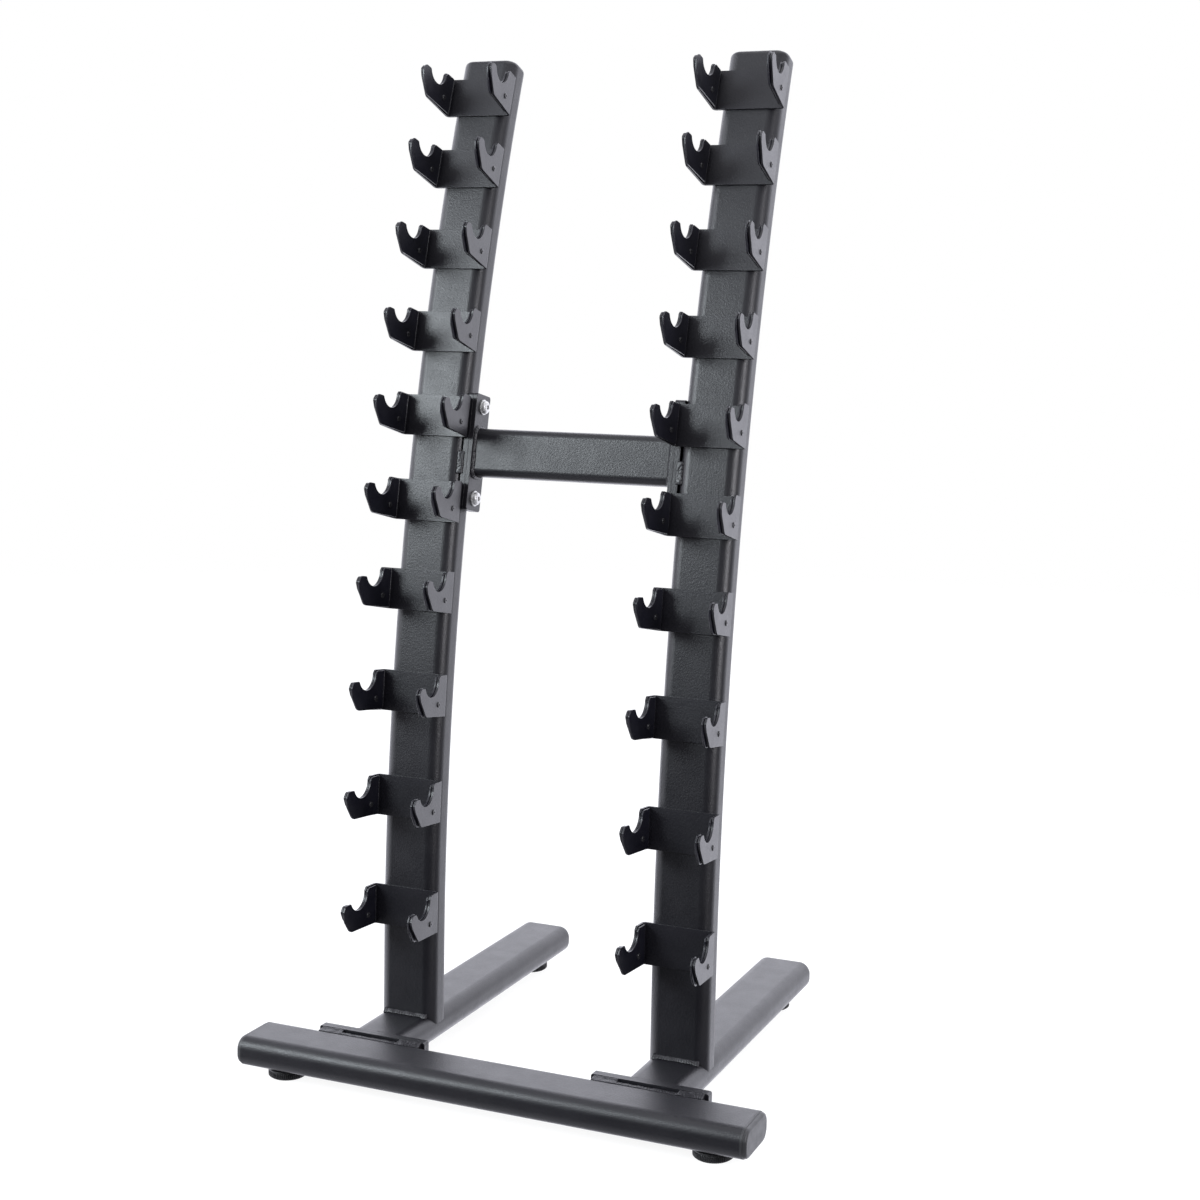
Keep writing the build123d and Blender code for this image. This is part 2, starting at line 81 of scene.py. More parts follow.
# meshes: steps round each curve, then what is joined, flat, smooth or eased
CORNER_STEPS, PLUG_STEPS, ARC_STEPS, NOTCH_STEPS = 10, 8, 6, 30
BEND_STEPS, RAIL_STEPS, CROSS_STEPS = 60, 24, 12
SAME_POINT, FLAT_BELOW = 4e-6, math.radians(0.4)
SMOOTH_BELOW, BEVEL_ABOVE = math.radians(38), math.radians(32)
LINER_BEVEL, BOLT_BEVEL, PLATE_BEVEL = 0.0005, 0.0002, 0.0004

# tubes
TUBE_WIDTH, TUBE_DEPTH, RAIL_HEIGHT = 0.083, 0.046, 0.040
TUBE_CORNER, CROSS_CORNER, TUBE_WALL = 0.017, 0.011, 0.003
STRAIGHT_RUN, BEND_RADIUS, TUBE_RUN = 0.083, 3.665, 1.336
COPE = 0.012                # how far an upright reaches down over its foot rail
FOOT_CAP_EDGE, TOP_CAP_EDGE, TOP_CAP_HEIGHT = 0.008, 0.0066, 0.007
CROSS_RUN, CROSS_BACKSET, CROSS_HEIGHT, CROSS_DEPTH = 0.781, 0.025, 0.066, 0.030

# saddles: places on an arm are out from the upright's face and up from its row's place on it
SHEET, SADDLE_HALF = 0.003, 0.050
SADDLE_TOP, SADDLE_BOTTOM = 0.0275, -0.0285
ARM_SPLAY = math.radians(3)
NOTCH_OUT, NOTCH_UP, NOTCH_RADIUS = 0.048, 0.021, 0.021
SHOULDER_OUT, THROAT_IN, THROAT_UP = 0.024, 0.019, 0.020
NOSE_OUT, NOSE_UP, PRONG_OUT, PRONG_TOP, PRONG_TIP = 0.0835, 0.0055, 0.0785, 0.013, 0.003
NOSE_ROUND, PRONG_ROUND, SHOULDER_ROUND = 0.004, 0.005, 0.003
STEEL_FRONT = ((0.061, 0.003), (0.079, -0.004))     # toe above the bottom edge, then cheek
LINER_FRONT = ((0.0675, 0.001), (0.0805, -0.008))
LINER, LINER_STEP, SEAT_OVERLAP = 0.0034, 0.0009, 0.0002
RIVET_OUT, RIVET_UP, RIVET_SHANK, RIVET_HEAD, RIVET_SIDES = 0.026, -0.011, 0.0019, 0.0038, 24
# lengths up an upright's face from the foot rail's top to each row
ROW_RUNS = (0.152, 0.304, 0.448, 0.587, 0.710, 0.827, 0.944, 1.061, 1.178, 1.284)

# weld beads: lumps and wanders are counted per metre
BEAD_VOXEL, SMOOTH_ROUNDS = 0.0009, 3
LUMP_HEIGHT, LUMPS, WANDERS = 0.0006, 130, 60
SCALE_HEIGHT, SCALE_POWER, SCALE_MIDDLE, CRESCENT = 0.0006, 0.6, 0.35, 55
SADDLE_PITCH, FRAME_PITCH = 0.0030, 0.0034
RING_SHAPE = 0.3            # a bead wider than this share of its length is taken for a ring

# levelling feet
KNURL_RIBS, RIB_POINTS, KNURL_DEPTH, KNURL_POWER = 64, 6, 0.0009, 1.5
STUD_RADIUS, STUD_CORE, STUD_TIP, STUD_SIDES = 0.00495, 0.0043, 0.0036, 36
THREAD_BOTTOM, THREAD_STEP, THREAD_PITCH = 0.0133, 0.00025, 0.0015
THREAD_DEPTH, THREAD_POWER = 0.0008, 0.8
TIP_LENGTH, CORE_OVERLAP = 0.0010, 0.0004

# studio: the floor fades out between two distances from the middle
FLOOR_RINGS, FLOOR_SIDES = (0.5, 1.5, 3.0, 4.5, 6.0, 8.0), 64
FADE_START, FADE_END, FLOOR_GLOW = 1.6, 5.5, 0.90
ROOM_COLOUR = (0.95, 0.955, 1.05)
# brightness of the room by direction: axis, where the rise starts and ends, and from and to what
ROOM_GLOWS = (("Y", 0.25, 0.85, 0.02, 2.1), ("Z", 0.02, 0.45, 0, 0.8), ("X", -0.55, -0.95, 0, 2.2),
              ("Z", -0.34, -0.70, 0, 0.8))

# camera
SENSOR_WIDTH, LENS, LENS_SHIFT = 36, 56.854, (-0.0473, -0.0459)
CAMERA_PLACE = (1.0504, -2.3610, 0.9857)
CAMERA_RIGHT, CAMERA_FORWARD = (0.9267, 0.3752, 0.0219), (-0.3709, 0.9224, -0.1074)

RAIL_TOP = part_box("foot_rail_left")[1].z
FACE_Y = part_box("upright_left")[0].y


# --- mesh helpers

def loop_faces(bm, loops, wrap=False, cap=False):
    """Skin over a row of equal loops of points; wrap joins the last loop to the first."""
    rings = [[bm.verts.new(point) for point in loop] for loop in loops]
    pairs = list(zip(rings, rings[1:])) + ([(rings[-1], rings[0])] if wrap else [])
    for low, high in pairs:
        for i, vert in enumerate(low):
            j = (i + 1) % len(low)
            bm.faces.new((vert, low[j], high[j], high[i]))
    if cap:
        bm.faces.new(rings[0])
        bm.faces.new(rings[-1])


def rounded_section(width, depth, corner, inset=0.0):
    """Loop of a rounded rectangle as (across, deep)."""
    half_width, half_depth = width / 2 - inset, depth / 2 - inset
    radius = corner - inset
    points = []
    for quarter, (sx, sy) in enumerate(((1, 1), (-1, 1), (-1, -1), (1, -1))):
        for step in range(CORNER_STEPS + 1):
            angle = math.radians(90 * (quarter + step / CORNER_STEPS))
            points.append((sx * (half_width - radius) + radius * math.cos(angle),
                           sy * (half_depth - radius) + radius * math.sin(angle)))
    return points


def placed(section, matrix):
    """Section laid in the matrix's own plane, as points in space."""
    return [matrix @ Vector((across, deep, 0)) for across, deep in section]


def hollow_tube(bm, frames, width, depth, corner=TUBE_CORNER):
    """Open-ended tube through a row of section frames."""
    outer = rounded_section(width, depth, corner)
    inner = rounded_section(width, depth, corner, TUBE_WALL)
    loops = [placed(outer, m) for m in frames] + [placed(inner, m) for m in reversed(frames)]
    loop_faces(bm, loops, wrap=True)


def rounded_plug(bm, matrix, width, depth, length, edge):
    """Solid end of a tube along the matrix's z, with its far edge rounded."""
    loops = [placed(rounded_section(width, depth, TUBE_CORNER), matrix)]
    for step in range(PLUG_STEPS + 1):
        angle = math.radians(90 * step / PLUG_STEPS)
        inset, along = edge * (1 - math.cos(angle)), length - edge * (1 - math.sin(angle))
        section = rounded_section(width, depth, TUBE_CORNER, inset)
        loops.append(placed(section, matrix @ Matrix.Translation((0, 0, along))))
    loop_faces(bm, loops, cap=True)


def axes_matrix(origin, across, deep):
    """Frame with x along across and y along deep; its z is square to both."""
    across, deep = Vector(across), Vector(deep)
    columns = [across, deep, across.cross(deep), Vector(origin)]
    rows = [[column[i] for column in columns] for i in range(3)]
    return Matrix(rows + [[0, 0, 0, 1]])


def lathe(bm, profile, segments, matrix, radius_at=None):
    """Turned shape about the matrix's z from (radius, height) points.

    radius_at, if given, works out each radius from the point's index, its radius and the angle.
    """
    loops = []
    for index, (radius, height) in enumerate(profile):
        loop = []
        for k in range(segments):
            angle = 2 * math.pi * k / segments
            r = radius_at(index, radius, angle) if radius_at else radius
            loop.append(matrix @ Vector((r * math.cos(angle), r * math.sin(angle), height)))
        loops.append(loop)
    loop_faces(bm, loops, cap=True)


def make_piece(name, bm, nodes, bevel=0.0, material=None):
    """Add an object that stands for CAD nodes, rides on their body and takes their slot's finish."""
    bmesh.ops.recalc_face_normals(bm, faces=bm.faces)
    if not bevel:
        for edge in bm.edges:
            edge.smooth = len(edge.link_faces) == 2 and edge.calc_face_angle(0) < SMOOTH_BELOW
    mesh = bpy.data.meshes.new(name)
    bm.to_mesh(mesh)
    bm.free()
    if "custom_normal" in mesh.attributes:
        mesh.attributes.remove(mesh.attributes["custom_normal"])
    mesh.polygons.foreach_set("use_smooth", [True] * len(mesh.polygons))
    piece = bpy.data.objects.new(name, mesh)
    bpy.context.scene.collection.objects.link(piece)
    if bevel:
        modifier = piece.modifiers.new("edge", "BEVEL")
        modifier.width = bevel
        modifier.segments = 2
        modifier.limit_method = "ANGLE"
        modifier.angle_limit = BEVEL_ABOVE
    modifier = piece.modifiers.new("shading", "WEIGHTED_NORMAL")
    modifier.keep_sharp = True
    slot = SLOT_OF[nodes[0]]
    mesh.materials.append(material or FINISH[slot])
    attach(piece, BODY_OF[nodes[0]])
    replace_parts(piece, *nodes)


def node_skin(node):
    """Copy of a node's mesh with its corners joined and its flat areas cleared of triangles."""
    bm = bmesh.new()
    bm.from_mesh(NODES[node].data)
    bmesh.ops.remove_doubles(bm, verts=bm.verts, dist=SAME_POINT)
    bmesh.ops.dissolve_limit(bm, angle_limit=FLAT_BELOW, verts=bm.verts, edges=bm.edges)
    return bm


# --- materials

NOISE_LOW, NOISE_HIGH = 0.3, 0.7        # most of a noise lies between these


class Recipe:
    """A node material built up from noises in the object's own coordinates, in metres."""

    def __init__(self, name, metallic=0.0, specular=0.5):
        self.material = bpy.data.materials.new(name)
        self.material.use_nodes = True
        self.tree = self.material.node_tree
        self.shader = self.tree.nodes["Principled BSDF"]
        self.shader.inputs["Metallic"].default_value = metallic
        self.shader.inputs["Specular IOR Level"].default_value = specular
        self.place = self.tree.nodes.new("ShaderNodeTexCoord").outputs["Object"]

    def link(self, source, target):
        self.tree.links.new(source, target)

    def noise(self, scale, detail):
        node = self.tree.nodes.new("ShaderNodeTexNoise")
        node.inputs["Scale"].default_value = scale
        node.inputs["Detail"].default_value = detail
        self.link(self.place, node.inputs["Vector"])
        return node.outputs["Fac"]

    def blend(self, first, second, share):
        node = self.tree.nodes.new("ShaderNodeMix")
        node.inputs["Factor"].default_value = share
        self.link(first, node.inputs[2])
        self.link(second, node.inputs[3])
        return node.outputs[0]

    def colour(self, factor, stops):
        """Base colour from a factor, between two stops of (position, colour)."""
        node = self.tree.nodes.new("ShaderNodeValToRGB")
        for element, (position, rgb) in zip(node.color_ramp.elements, stops):
            element.position = position
            element.color = (*rgb, 1)
        self.link(factor, node.inputs["Fac"])
        self.link(node.outputs["Color"], self.shader.inputs["Base Color"])

    def roughness(self, factor, low, high):
        """Roughness from low to high over the middle of a noise."""
        node = self.tree.nodes.new("ShaderNodeMapRange")
        node.inputs["From Min"].default_value = NOISE_LOW
        node.inputs["From Max"].default_value = NOISE_HIGH
        node.inputs["To Min"].default_value = low
        node.inputs["To Max"].default_value = high
        self.link(factor, node.inputs["Value"])
        self.link(node.outputs["Result"], self.shader.inputs["Roughness"])

    def bumps(self, *layers):
        """Each layer is (height, strength, distance); later layers ride on earlier ones."""
        below = None
        for height, strength, distance in layers:
            node = self.tree.nodes.new("ShaderNodeBump")
            node.inputs["Strength"].default_value = strength
            node.inputs["Distance"].default_value = distance
            self.link(height, node.inputs["Height"])
            if below:
                self.link(below, node.inputs["Normal"])
            below = node.outputs["Normal"]
        self.link(below, self.shader.inputs["Normal"])


def powder_coat(name, dark, light, low, high, grain):
    """Satin paint, roughness low to high; grain is the strength of its orange peel."""
    recipe = Recipe(name)
    patches = recipe.noise(9, 4)
    specks = recipe.noise(850, 2)
    recipe.colour(recipe.blend(patches, specks, 0.55), ((0.34, dark), (0.66, light)))
    recipe.roughness(recipe.blend(recipe.noise(38, 4), recipe.noise(420, 2), 0.5), low, high)
    recipe.bumps((recipe.noise(400, 3), 0.36 * grain, 0.0007),
                 (recipe.noise(900, 2), 0.30 * grain, 0.0003))
    return recipe.material


def moulded_plastic(name, dark, light, low, high, specular=0.5):
    recipe = Recipe(name, specular=specular)
    patches = recipe.noise(25, 3)
    specks = recipe.noise(1300, 2)
    recipe.colour(recipe.blend(patches, specks, 0.4), ((0.35, dark), (0.65, light)))
    recipe.roughness(recipe.noise(90, 4), low, high)
    recipe.bumps((recipe.noise(220, 2), 0.05, 0.0004), (recipe.noise(1500, 2), 0.16, 0.0001))
    return recipe.material


def zinc_plate(name, dark, light, low, high):
    recipe = Recipe(name, metallic=1.0)
    patches = recipe.noise(120, 4)
    specks = recipe.noise(1400, 2)
    recipe.colour(recipe.blend(patches, specks, 0.4), ((0.3, dark), (0.7, light)))
    recipe.roughness(recipe.noise(300, 4), low, high)
    recipe.bumps((recipe.noise(700, 3), 0.05, 0.0001))
    return recipe.material


# each finish: darkest and lightest colour, then lowest and highest roughness
FINISH = {
    "frame_powder_coat": powder_coat(
        "frame_powder_coat", (0.0026, 0.0025, 0.0040), (0.0062, 0.0060, 0.0086), 0.37, 0.47, grain=1.0),
    "cap_plastic": moulded_plastic(
        "cap_plastic", (0.016, 0.0165, 0.018), (0.024, 0.0245, 0.026), 0.44, 0.54),
    "liner_plastic": moulded_plastic(
        "liner_plastic", (0.0034, 0.0034, 0.0066), (0.0058, 0.0058, 0.0100), 0.32, 0.42),
    "rivet_steel": powder_coat(
        "rivet_steel", (0.010, 0.010, 0.011), (0.020, 0.020, 0.022), 0.34, 0.44, grain=0.4),
    "plated_steel": zinc_plate(
        "plated_steel", (0.50, 0.50, 0.49), (0.64, 0.64, 0.63), 0.46, 0.58),
    "foot_plastic": moulded_plastic(
        "foot_plastic", (0.004, 0.004, 0.0042), (0.009, 0.009, 0.0095), 0.42, 0.55),
    "pad_rubber": moulded_plastic(
        "pad_rubber", (0.006, 0.006, 0.006), (0.011, 0.011, 0.011), 0.72, 0.88, specular=0.3),
}
# saddle brackets: the frame coat made smoother (real) with a lighter colour, which is a painted sheen for
# the light the arms' outer faces reflect
BRACKET_COAT_PAINTED_SHEEN = powder_coat(
    "bracket_coat_painted_sheen", (0.0036, 0.0034, 0.0056), (0.0078, 0.0074, 0.0108), 0.35, 0.44, grain=0.8)


# --- uprights, rails and crossmember

def face_frame(x, run):
    """Place on an upright's front face: local x right, y up along the tube, z out to the front."""
    lean = max(run - STRAIGHT_RUN, 0) / BEND_RADIUS
    y = FACE_Y + BEND_RADIUS * (1 - math.cos(lean))
    z = RAIL_TOP + min(run, STRAIGHT_RUN) + BEND_RADIUS * math.sin(lean)
    return axes_matrix((x, y, z), (1, 0, 0), (0, math.sin(lean), math.cos(lean)))


def section_frame(x, run):
    """Cross-section of an upright: local x right, y back through its depth, z up along it."""
    middle = face_frame(x, run) @ Matrix.Translation((0, 0, -TUBE_DEPTH / 2))
    return middle @ Matrix.Rotation(-math.pi / 2, 4, "X")


def add_uprights():
    for name in SIDES:
        low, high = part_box(f"upright_{name}")
        x = (low.x + high.x) / 2
        curve = TUBE_RUN - STRAIGHT_RUN
        runs = [-COPE, 0] + [STRAIGHT_RUN + curve * k / BEND_STEPS for k in range(BEND_STEPS + 1)]
        # a run below zero goes straight down over the foot rail
        frames = [Matrix.Translation((0, 0, min(run, 0))) @ section_frame(x, max(run, 0)) for run in runs]
        bm = bmesh.new()
        hollow_tube(bm, frames, TUBE_WIDTH, TUBE_DEPTH)
        make_piece(f"upright_tube_{name}", bm, [f"upright_{name}"])
        bm = bmesh.new()
        end = section_frame(x, TUBE_RUN)
        rounded_plug(bm, end, TUBE_WIDTH, TUBE_DEPTH, TOP_CAP_HEIGHT, TOP_CAP_EDGE)
        make_piece(f"upright_closure_{name}", bm, [f"upright_cap_{name}"])


def straight_frames(start, end, across, deep, steps=RAIL_STEPS):
    """Section frames in equal steps from start to end."""
    start, end = Vector(start), Vector(end)
    return [axes_matrix(start.lerp(end, k / steps), across, deep) for k in range(steps + 1)]


def add_rails():
    low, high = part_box("front_rail")
    axis_y, axis_z = (low.y + high.y) / 2, (low.z + high.z) / 2
    bm = bmesh.new()
    frames = straight_frames((low.x, axis_y, axis_z), (high.x, axis_y, axis_z), (0, 1, 0), (0, 0, 1))
    hollow_tube(bm, frames, TUBE_WIDTH, RAIL_HEIGHT)
    make_piece("front_rail_tube", bm, ["front_rail"])
    for name in SIDES:
        low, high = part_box(f"foot_rail_{name}")
        x = (low.x + high.x) / 2
        bm = bmesh.new()
        frames = straight_frames((x, low.y, axis_z), (x, high.y, axis_z), (-1, 0, 0), (0, 0, 1))
        hollow_tube(bm, frames, TUBE_WIDTH, RAIL_HEIGHT)
        make_piece(f"foot_rail_tube_{name}", bm, [f"foot_rail_{name}"])
        low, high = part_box(f"foot_rail_cap_{name}")
        bm = bmesh.new()
        end = axes_matrix((x, low.y, axis_z), (-1, 0, 0), (0, 0, 1))
        rounded_plug(bm, end, TUBE_WIDTH, RAIL_HEIGHT, high.y - low.y, FOOT_CAP_EDGE)
        make_piece(f"foot_rail_closure_{name}", bm, [f"foot_rail_cap_{name}"])


def add_crossmember():
    low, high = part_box("crossmember")
    face = face_frame(0, CROSS_RUN) @ Matrix.Translation((0, 0, -CROSS_BACKSET))
    up, out = face.col[1].xyz, face.col[2].xyz
    start, end = (face.translation + Vector((x, 0, 0)) for x in (low.x, high.x))
    bm = bmesh.new()
    frames = straight_frames(start, end, up, out, CROSS_STEPS)
    hollow_tube(bm, frames, CROSS_HEIGHT, CROSS_DEPTH, CROSS_CORNER)
    make_piece("crossmember_tube", bm, ["crossmember"])


# --- saddles: liners and rivets

def rounded_corners(corners):
    """Closed outline from (x, y, radius) corners; each radius becomes an arc."""
    points = []
    for i, (x, y, radius) in enumerate(corners):
        here = Vector((x, y))
        if not radius:
            points.append(here)
            continue
        before = (Vector(corners[i - 1][:2]) - here).normalized()
        after = (Vector(corners[(i + 1) % len(corners)][:2]) - here).normalized()
        half = before.angle(after) / 2
        centre = here + (before + after).normalized() * radius / math.sin(half)
        start = here + before * radius / math.tan(half) - centre
        end = here + after * radius / math.tan(half) - centre
        for k in range(ARC_STEPS + 1):
            arm = start.lerp(end, k / ARC_STEPS)
            points.append(centre + arm.normalized() * radius)
    return points


def sharp_arc(centre, radius, first, last, steps):
    """Unrounded corners along an arc from the first angle to the last, both included."""
    angles = [first + (last - first) * k / steps for k in range(steps + 1)]
    return [(centre[0] + radius * math.cos(angle), centre[1] + radius * math.sin(angle), 0)
            for angle in angles]


def arm_outline(back, bottom, top, notch_radius, grow, low_front=STEEL_FRONT, bend=0.009):
    """Side view of a saddle's arm as (out from the upright, up).

    It runs from the back along the bottom, up the front, over the prong's tip, through the notch
    and over the shoulder. grow moves the front and the shoulder out and the prong's top up.
    """
    toe, cheek = low_front
    prong_top = PRONG_TOP + grow
    corners = [(back, bottom, 0), (toe[0] + grow, bottom + toe[1], bend), (cheek[0] + grow, cheek[1], 0),
               (NOSE_OUT + grow, NOSE_UP, NOSE_ROUND), (PRONG_OUT + grow, prong_top, PRONG_ROUND)]
    notch = Vector((NOTCH_OUT, NOTCH_UP))
    rise = prong_top - PRONG_TIP - NOTCH_UP
    reach = notch_radius + PRONG_TIP
    tip = Vector((NOTCH_OUT + math.sqrt(reach ** 2 - rise ** 2), prong_top - PRONG_TIP))
    inward = (notch - tip).normalized()
    corners += sharp_arc(tip, PRONG_TIP, math.pi / 2, math.atan2(inward.y, inward.x), ARC_STEPS)
    shoulder = Vector((SHOULDER_OUT + grow, top))
    slope = (Vector((NOTCH_OUT - THROAT_IN, THROAT_UP)) - shoulder).normalized()
    offset = shoulder - notch
    along = slope.dot(offset)
    hit = shoulder + slope * (-along - math.sqrt(along ** 2 - offset.length_squared + notch_radius ** 2))
    first = math.atan2(-inward.y, -inward.x)
    last = math.atan2(hit.y - NOTCH_UP, hit.x - NOTCH_OUT)
    if last > 0:
        last -= 2 * math.pi
    corners += sharp_arc((NOTCH_OUT, NOTCH_UP), notch_radius, first, last, NOTCH_STEPS)[1:]
    return rounded_corners(corners + [(shoulder.x, shoulder.y, SHOULDER_ROUND), (back, top, 0)])


def arm_place(place, side):
    """Matrix of one arm: the splay about its fold, mirrored for the left arm."""
    fold = Matrix.Translation((SADDLE_HALF - SHEET, 0, SHEET))
    lean = fold @ Matrix.Rotation(ARM_SPLAY, 4, "Y") @ fold.inverted()
    mirror = Matrix.Diagonal((side, 1, 1, 1))
    return place @ mirror @ lean


def prism(bm, outline, near, far, matrix):
    """Plate of an arm's outline between two places along local x."""
    loops = [[matrix @ Vector((x, up, out)) for out, up in outline] for x in (near, far)]
    loop_faces(bm, loops, cap=True)


def add_liners_and_rivets():
    inner = SADDLE_HALF - SHEET
    step, face = inner - LINER_STEP, inner - LINER
    bottom, top = SADDLE_BOTTOM + 0.002, SADDLE_TOP - 0.0015
    # a smaller seat lies on the steel's inside and carries the liner's body
    seat = arm_outline(back=0.009, bottom=bottom + 0.0015, top=top - 0.0015,
                       notch_radius=NOTCH_RADIUS + 0.0006, grow=-0.0014)
    body = arm_outline(back=0.008, bottom=bottom, top=top, notch_radius=NOTCH_RADIUS - 0.001,
                       grow=0.0008, low_front=LINER_FRONT, bend=0.012)
    head = [(0.0013, 0.0007), (0.0013, 0.0014), (0.0029, 0.0014), (0.0035, 0.0011), (RIVET_HEAD, 0.0005)]
    inside = [(r, face - h) for r, h in head] + [(RIVET_HEAD, face), (RIVET_SHANK, face)]
    outside = [(RIVET_SHANK, SADDLE_HALF), (RIVET_HEAD, SADDLE_HALF)]
    outside += [(r, SADDLE_HALF + h) for r, h in reversed(head)]
    sideways = Matrix.Rotation(math.pi / 2, 4, "Y")
    for name in SIDES:
        low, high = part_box(f"upright_{name}")
        x = (low.x + high.x) / 2
        liners, rivets = bmesh.new(), bmesh.new()
        for run in ROW_RUNS:
            for side in SIDES.values():
                matrix = arm_place(face_frame(x, run), side)
                prism(liners, seat, step - SEAT_OVERLAP, inner, matrix)
                prism(liners, body, face, step, matrix)
                spot = matrix @ Matrix.Translation((0, RIVET_UP, RIVET_OUT))
                lathe(rivets, inside + outside, RIVET_SIDES, spot @ sideways)
        make_piece(f"saddle_liner_set_{name}", liners, [f"saddle_liners_{name}"], bevel=LINER_BEVEL)
        make_piece(f"saddle_rivet_set_{name}", rivets, [f"saddle_rivets_{name}"])


# --- welds: the CAD beads made lumpy, with ripples along them

def islands(bm):
    """The vertices of each separate bead in turn."""
    left = set(bm.verts)
    while left:
        stack, found = [left.pop()], []
        while stack:
            vert = stack.pop()
            found.append(vert)
            for edge in vert.link_edges:
                other = edge.other_vert(vert)
                if other in left:
                    left.remove(other)
                    stack.append(other)
        yield found


def ripple(points):
    """How far along its bead each point lies, bent so that the scales come out as crescents."""
    centre = points.mean(axis=0)
    spread = points - centre
    values, axes = np.linalg.eigh(spread.T @ spread)
    long_axis, wide_axis, flat_axis = axes[:, 2], axes[:, 1], axes[:, 0]
    u, v = spread @ long_axis, spread @ wide_axis
    if math.sqrt(values[1] / values[2]) > RING_SHAPE:
        along = np.arctan2(v, u) * np.hypot(u, v).mean()
        side = spread @ flat_axis
    else:
        along, side = u, v
    return along + CRESCENT * side ** 2


def add_welds(node, name, pitch):
    """Show a node's beads with lumps and scales on them; pitch is the length of one scale."""
    scratch = bpy.data.meshes.new("bead_start")
    bm = node_skin(node)
    bm.to_mesh(scratch)
    bm.free()
    start = bpy.data.objects.new("bead_start", scratch)
    bpy.context.scene.collection.objects.link(start)
    remesh = start.modifiers.new("remesh", "REMESH")
    remesh.mode = "VOXEL"
    remesh.voxel_size = BEAD_VOXEL
    evaluated = start.evaluated_get(bpy.context.evaluated_depsgraph_get())
    mesh = bpy.data.meshes.new_from_object(evaluated)
    bpy.data.objects.remove(start)
    bm = bmesh.new()
    bm.from_mesh(mesh)
    for _ in range(SMOOTH_ROUNDS):
        bmesh.ops.smooth_vert(bm, verts=bm.verts, factor=0.5,
                              use_axis_x=True, use_axis_y=True, use_axis_z=True)
    bm.normal_update()
    for found in islands(bm):
        points = np.array([vert.co for vert in found])
        along = ripple(points)
        for vert, where in zip(found, along):
            lump = noise.noise(vert.co * LUMPS) * LUMP_HEIGHT
            phase = where / pitch + noise.noise(vert.co * WANDERS)
            scale = abs(math.sin(math.pi * phase)) ** SCALE_POWER
            vert.co += vert.normal * (lump + SCALE_HEIGHT * (scale - SCALE_MIDDLE))
    make_piece(name, bm, [node])


# --- levelling feet: knurled disc, hub and threaded stud

def disc_profile(radius):
    """Side of the disc and its hub from the bottom up as (radius, height, share of the knurl)."""
    return [(0.004, 0.0005, 0), (0.004, 0.0012, 0), (radius - 0.0010, 0.0012, 0),
            (radius - 0.0002, 0.0018, 1), (radius, 0.0026, 1), (radius, 0.0075, 1),
            (radius - 0.0002, 0.0084, 1), (radius - 0.0009, 0.0090, 0), (radius - 0.0007, 0.0098, 0),
            (radius - 0.0010, 0.0110, 0), (radius - 0.0022, 0.0120, 0), (radius - 0.0042, 0.0125, 0),
            (0.0105, 0.0125, 0), (0.0093, 0.0127, 0), (0.0089, 0.0131, 0), (0.0085, 0.0135, 0)]


def add_feet():
    for corner in CORNERS:
        low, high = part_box(f"levelling_foot_{corner}")
        centre = (low + high) / 2
        matrix = Matrix.Translation((centre.x, centre.y, 0))
        disc = disc_profile((high.x - low.x) / 2)
        steps = int((high.z - THREAD_BOTTOM - TIP_LENGTH) / THREAD_STEP)
        heights = [THREAD_BOTTOM + THREAD_STEP * k for k in range(steps)]

        def knurled(index, r, angle):
            groove = (0.5 + 0.5 * math.cos(KNURL_RIBS * angle)) ** KNURL_POWER
            return r - disc[index][2] * KNURL_DEPTH * groove

        def threaded(index, r, angle):
            phase = (heights[index] / THREAD_PITCH - angle / (2 * math.pi)) % 1.0
            return r - THREAD_DEPTH * (1 - abs(2 * phase - 1)) ** THREAD_POWER

        bm = bmesh.new()
        lathe(bm, [(r, z) for r, z, _ in disc], KNURL_RIBS * RIB_POINTS, matrix, knurled)
        lathe(bm, [(STUD_RADIUS, z) for z in heights], STUD_SIDES, matrix, threaded)
        tip = [(STUD_CORE, heights[-1] - CORE_OVERLAP), (STUD_CORE, heights[-1] + CORE_OVERLAP),
               (STUD_TIP, high.z)]
        lathe(bm, tip, STUD_SIDES, matrix)
        make_piece(f"knurled_foot_{corner}", bm, [f"levelling_foot_{corner}"])


# --- stage, light and camera

